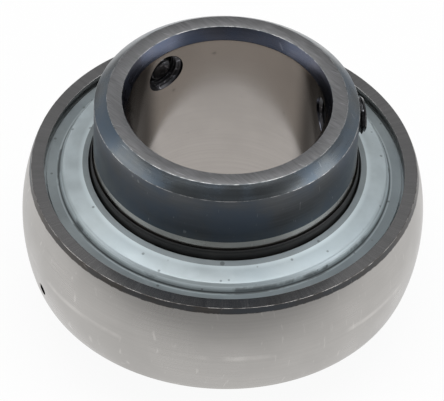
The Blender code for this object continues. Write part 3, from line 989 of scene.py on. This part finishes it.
class BEARING_OT_flat_washers(Builder, bpy.types.Operator):
    """Stamp the two flat washers that are snapped into the outer ring behind the seals."""

    bl_idname = "bearing.flat_washers"
    bl_label = "Flat Washers"

    def build(self, size, colours):
        zinc = zinc_coat("zinc_back_sheet", shade(colours.zinc, 0.9), 0.4)
        top, foot, edge = size.back_top, size.back_top - size.sheet, 0.0001
        path = [
            Corner(size.back_radius, top, edge),
            Corner(size.back_radius, foot, edge),
            Corner(size.back_inner, foot, edge, cuts=3),
            Corner(size.back_inner, top, edge),
        ]
        both_sides(path, "flat_{}_washer", "{}_inner_washer", zinc)


class BEARING_OT_seal_lips(Builder, bpy.types.Operator):
    """Mould the two rubber lips that run on the inner ring."""

    bl_idname = "bearing.seal_lips"
    bl_label = "Seal Lips"

    def build(self, size, colours):
        rubber = moulded_rubber("moulded_rubber", colours.rubber, 0.45)
        tip, inside, outside = size.lip_tip, size.lip_radius, size.lip_outer
        relief = inside + 0.0001
        throat = outside + 0.00085
        body_top = size.crown_edge - size.sheet - 0.00035
        foot = size.back_top + 0.0002
        blunt, soft = 0.00003, 0.0002
        path = [
            Corner(relief + blunt, tip, 0.00004),
            Corner(outside - blunt, tip - 0.0002, 0.00004),
            Corner(outside - 0.00008, tip - 0.00045, 0.00005),
            Corner(outside, tip - 0.0007, 0.00008),
            Corner(outside, body_top + 0.0005, soft, cuts=4),
            Corner(throat, body_top + 0.0003, soft),
            Corner(size.lip_body, body_top, soft, cuts=3),
            Corner(size.lip_body, foot, soft),
            Corner(throat, foot, soft),
            Corner(relief, body_top, soft),
            Corner(relief, tip - 0.0006, 0.00005),
            Corner(inside, tip - 0.0002, 0.00002),
        ]
        both_sides(path, "moulded_{}_lip", "{}_seal_lip", rubber)


def in_row(size, number, height=0.0):
    """A place on the pitch circle, counted in balls from the X axis."""
    turned = Matrix.Rotation(math.tau * number / BALL_COUNT, 4, "Z")
    return turned @ Matrix.Translation((size.pitch_radius, 0.0, height))


def add_ball(bm, size, number, radius):
    bmesh.ops.create_uvsphere(
        bm,
        u_segments=DETAIL_STEPS,
        v_segments=DETAIL_STEPS // 2,
        radius=radius,
        matrix=in_row(size, number),
    )


class BEARING_OT_balls(Builder, bpy.types.Operator):
    """Set the polished balls round the pitch circle."""

    bl_idname = "bearing.balls"
    bl_label = "Balls"

    def build(self, size, colours):
        steel = polished_steel("polished_ball_steel", colours.ball, 0.08)
        for number in range(BALL_COUNT):
            bm = bmesh.new()
            add_ball(bm, size, number, size.ball_radius)
            name = f"ball_{number + 1}"
            finish_piece(as_object(f"polished_{name}", bm, [steel]), name, name)


def add_horn_slot(bm, size, number):
    """The round-bottomed gap between the horns of two neighbouring pockets."""
    height = size.horn_slot_depth + CUT_MARGIN
    middle = size.horn_height - size.horn_slot_depth + height / 2
    reach = size.cage_outer - size.cage_inner + 2 * CUT_MARGIN
    block = bmesh.ops.create_cube(bm, size=1.0)["verts"]
    foot = [
        edge
        for edge in {edge for vert in block for edge in vert.link_edges}
        if all(vert.co.z < 0.0 for vert in edge.verts)
        and edge.verts[0].co.y == edge.verts[1].co.y
    ]
    stretch = Matrix.Diagonal((reach, size.horn_slot_width, height, 1.0))
    place = in_row(size, number + 0.5, middle)
    bmesh.ops.transform(bm, matrix=place @ stretch, verts=block)
    round_off(bm, foot, size.horn_slot_width * 0.45, BEND_STEPS, "EDGES")


class BEARING_OT_cage(Builder, bpy.types.Operator):
    """Mould the snap cage, with its ball pockets and the slots between its horns."""

    bl_idname = "bearing.cage"
    bl_label = "Snap Cage"

    def build(self, size, colours):
        soft = 0.0003
        path = [
            Corner(size.cage_outer, size.horn_height, soft),
            Corner(size.cage_outer, -size.cage_bottom, soft, cuts=6),
            Corner(size.cage_inner, -size.cage_bottom, soft),
            Corner(size.cage_inner, size.horn_height, soft, cuts=6),
        ]
        nylon = moulded_nylon("moulded_nylon", colours.nylon, 0.42)
        cage = as_object("moulded_cage", turn(draw_outline(path)), [nylon])
        pockets, slots = bmesh.new(), bmesh.new()
        for number in range(BALL_COUNT):
            add_ball(pockets, size, number, size.ball_radius + size.pocket_gap)
            add_horn_slot(slots, size, number)
        machine(cage, as_object("pockets", pockets, [nylon]))
        machine(cage, as_object("horn_slots", slots, [nylon]))
        finish_piece(cage, "ball_cage", "ball_cage")


def screw_blank(size):
    """What the threaded bar is turned down to, from its socket end to its cup point."""
    half = size.screw_length / 2
    clear = size.screw_radius + 0.0001
    mouth_depth, end_width, end_height = 0.0001, 0.0004, 0.0005
    cup_rim, cup_edge, cup_depth, point_height = 0.0015, 0.0014, 0.0006, 0.00099
    path = [
        Corner(0.0, half - mouth_depth),
        Corner(size.key_width * 0.58, half - mouth_depth),
        Corner(size.key_width * 0.6, half),
        Corner(size.screw_radius - end_width, half),
        Corner(clear, half - end_height),
        Corner(clear, point_height - half),
        Corner(cup_rim, -half),
        Corner(cup_edge, -half),
        Corner(0.0, cup_depth - half),
    ]
    return turned_tool(path)


def key(size):
    """A hexagon cutter for the socket, with a shallow drill point at its foot."""
    bm = bmesh.new()
    depth = size.key_depth + CUT_MARGIN
    middle = size.screw_length / 2 - size.key_depth + depth / 2
    corner = size.key_width / math.sqrt(3)
    bmesh.ops.create_cone(
        bm,
        cap_ends=True,
        segments=6,
        radius1=corner,
        radius2=corner,
        depth=depth,
        matrix=Matrix.Translation((0.0, 0.0, middle)),
    )
    foot = [face for face in bm.faces if face.normal.z < -0.9]
    bmesh.ops.poke(bm, faces=foot, offset=0.0003)
    return bm


class BEARING_OT_grub_screws(Builder, bpy.types.Operator):
    """Cut the two grub screws: thread, chamfer, cup point and key socket."""

    bl_idname = "bearing.grub_screws"
    bl_label = "Grub Screws"

    def build(self, size, colours):
        black = blackened("blackened_screw", colours.screw, 0.2)
        reach = size.screw_length / 2 + CUT_MARGIN
        for number, angle in enumerate(SCREW_ANGLES, 1):
            bar = thread_body(size, 0.0, -reach, reach)
            screw = as_object(f"threaded_screw_{number}", bar, [black])
            machine(screw, as_object("screw_blank", screw_blank(size), [black]), "INTERSECT")
            machine(screw, as_object("key", key(size), [black]))
            screw.data.transform(outwards(angle, size.screw_centre, size.screw_height))
            name = f"grub_screw_{number}"
            finish_piece(screw, name, name)


# Stage


def lamp(name, place, width, energy):
    """A square panel that faces the bearing."""
    light = bpy.data.lights.new(name, "AREA")
    light.shape = "SQUARE"
    light.size = width
    light.energy = energy
    thing = bpy.data.objects.new(name, light)
    bpy.context.scene.collection.objects.link(thing)
    thing.location = place
    thing.rotation_euler = (-Vector(place)).to_track_quat("-Z", "Y").to_euler()


def lay_floor(colours):
    """A round pale table that glows white near the bearing, with painted shade: greyer far from it,
    soonest in front, and a painted shadow on the floor inside the bore.
    """
    finish = Finish("pale_table", colours.floor, 0.6, metallic=0.0)
    # Painted shade: the glow and the table's colour grey with distance, soonest towards the front.
    spread = finish.stretched((0.5, 1.0, 0.0))
    away = finish.between(finish.vector("DISTANCE", spread, (0.0, 0.04, 0.0)), 0.063, 0.12)
    open_floor = finish.mix(away, (1.0, 1.0, 1.0), (0.4, 0.4, 0.4))
    # Painted shadow: the glow is dimmed on the floor inside the bore.
    bore_shadow = finish.between(finish.radius(), 0.011, 0.0145, 1.0, 0.0)
    tone = finish.mix(bore_shadow, open_floor, (0.72, 0.72, 0.72))
    glow = finish.add("ShaderNodeEmission", {"Color": tone}).outputs[0]
    rays = finish.add("ShaderNodeLightPath", {}).outputs
    seen = finish.calc("ADD", rays["Is Camera Ray"], rays["Is Glossy Ray"])
    seen = finish.calc("MINIMUM", finish.calc("ADD", seen, rays["Is Transmission Ray"]), 1.0)
    share = finish.calc("MULTIPLY", seen, 0.93)
    finish.paint(0.5, away)
    finish.feed(finish.shader, {"Base Color": finish.tone, "Roughness": finish.roughness})
    blend = finish.add("ShaderNodeMixShader", {0: share, 1: finish.shader.outputs[0], 2: glow})
    finish.feed(finish.tree.nodes["Material Output"], {"Surface": blend.outputs[0]})
    bm = bmesh.new()
    bmesh.ops.create_circle(bm, cap_ends=True, segments=96, radius=3.0)
    bmesh.ops.translate(bm, verts=bm.verts, vec=(0.0, 0.0, INNER_LOW.z - 0.00002))
    as_object("pale_table", bm, [finish.material])


def light_room():
    """An even pale room that is dim on the side where the photographer stands."""
    world = bpy.data.worlds.new("pale_room")
    bpy.context.scene.world = world
    world.use_nodes = True
    room = Nodes(world.node_tree)
    way = room.add("ShaderNodeTexCoord", {}).outputs["Generated"]
    upwards = room.vector("DOT_PRODUCT", way, (0.0, 0.0, 1.0))
    behind_camera = room.vector("DOT_PRODUCT", way, (0.0, -0.7, 0.714))
    ceiling = room.between(upwards, 0.15, 0.6, 0.62, 0.32)
    level = room.calc("MULTIPLY", ceiling, room.between(behind_camera, 0.75, 0.96, 1.0, 0.5))
    pale = (0.98, 0.99, 1.0, 1.0)
    room.feed(room.tree.nodes["Background"], {"Color": pale, "Strength": level})


def stand_camera(stage):
    """Put the camera where the photograph was taken from."""
    rise, roll = stage.elevation, stage.roll
    up = Vector((0.0, math.sin(rise), math.cos(rise)))
    forward = Vector((0.0, math.cos(rise), -math.sin(rise)))
    right = Vector((1.0, 0.0, 0.0))
    camera_right = right * math.cos(roll) + up * math.sin(roll)
    camera_up = up * math.cos(roll) - right * math.sin(roll)
    shift = stage.shift_right * camera_right + stage.shift_up * camera_up
    data = bpy.data.cameras.new("photo_camera")
    data.lens = stage.focal_length
    data.sensor_width = 36.0
    data.sensor_fit = "HORIZONTAL"
    data.clip_start = 0.01
    camera = bpy.data.objects.new("photo_camera", data)
    bpy.context.scene.collection.objects.link(camera)
    axes = Matrix((camera_right, camera_up, -forward)).transposed().to_4x4()
    camera.matrix_world = Matrix.Translation(-shift - stage.distance * forward) @ axes
    bpy.context.scene.camera = camera


class BEARING_OT_stage(bpy.types.Operator):
    """Lay the pale floor, light the room and stand the camera."""

    bl_idname = "bearing.stage"
    bl_label = "Stage"

    def execute(self, context):
        lay_floor(context.scene.bearing_colours)
        light_room()
        lamp("overhead_panel", (0.0, 0.03, 0.5), width=0.5, energy=1.9)
        lamp("left_panel", (-0.5, -0.1, 0.2), width=0.4, energy=0.5)
        lamp("right_panel", (0.5, -0.14, 0.16), width=0.4, energy=0.8)
        stand_camera(context.scene.bearing_stage)
        context.scene.view_settings.view_transform = "Standard"
        return {"FINISHED"}


class BEARING_PT_sidebar(bpy.types.Panel):
    """Every piece and the stage, in the order in which they are made."""

    bl_idname = "BEARING_PT_sidebar"
    bl_label = "Insert Bearing"
    bl_space_type = "VIEW_3D"
    bl_region_type = "UI"
    bl_category = "Bearing"

    def draw(self, context):
        for operator in OPERATORS:
            self.layout.operator(operator.bl_idname)
        for group in GROUPS.values():
            self.layout.separator()
            settings = getattr(context.scene, group)
            for name in settings.bl_rna.properties.keys():
                if name not in ("rna_type", "name"):
                    self.layout.prop(settings, name)


GROUPS = {
    BearingSizes: "bearing_sizes",
    BearingColours: "bearing_colours",
    BearingStage: "bearing_stage",
}
OPERATORS = (
    BEARING_OT_outer_ring,
    BEARING_OT_inner_ring,
    BEARING_OT_pressed_washers,
    BEARING_OT_flat_washers,
    BEARING_OT_seal_lips,
    BEARING_OT_balls,
    BEARING_OT_cage,
    BEARING_OT_grub_screws,
    BEARING_OT_stage,
)


def register():
    for group, name in GROUPS.items():
        bpy.utils.register_class(group)
        setattr(bpy.types.Scene, name, bpy.props.PointerProperty(type=group))
    for thing in (*OPERATORS, BEARING_PT_sidebar):
        bpy.utils.register_class(thing)


def unregister():
    for thing in (BEARING_PT_sidebar, *reversed(OPERATORS)):
        bpy.utils.unregister_class(thing)
    for group, name in GROUPS.items():
        delattr(bpy.types.Scene, name)
        bpy.utils.unregister_class(group)


def clear_startup():
    """Take away what a new file starts with, and keep the frame."""
    kept = [*frame["bodies"].values(), *frame["nodes"].values()]
    for thing in list(bpy.data.objects):
        if thing not in kept:
            bpy.data.objects.remove(thing, do_unlink=True)


def main():
    clear_startup()
    register()
    bpy.ops.bearing.outer_ring()
    bpy.ops.bearing.inner_ring()
    bpy.ops.bearing.pressed_washers()
    bpy.ops.bearing.flat_washers()
    bpy.ops.bearing.seal_lips()
    bpy.ops.bearing.balls()
    bpy.ops.bearing.cage()
    bpy.ops.bearing.grub_screws()
    bpy.ops.bearing.stage()


if __name__ == "__main__":
    main()
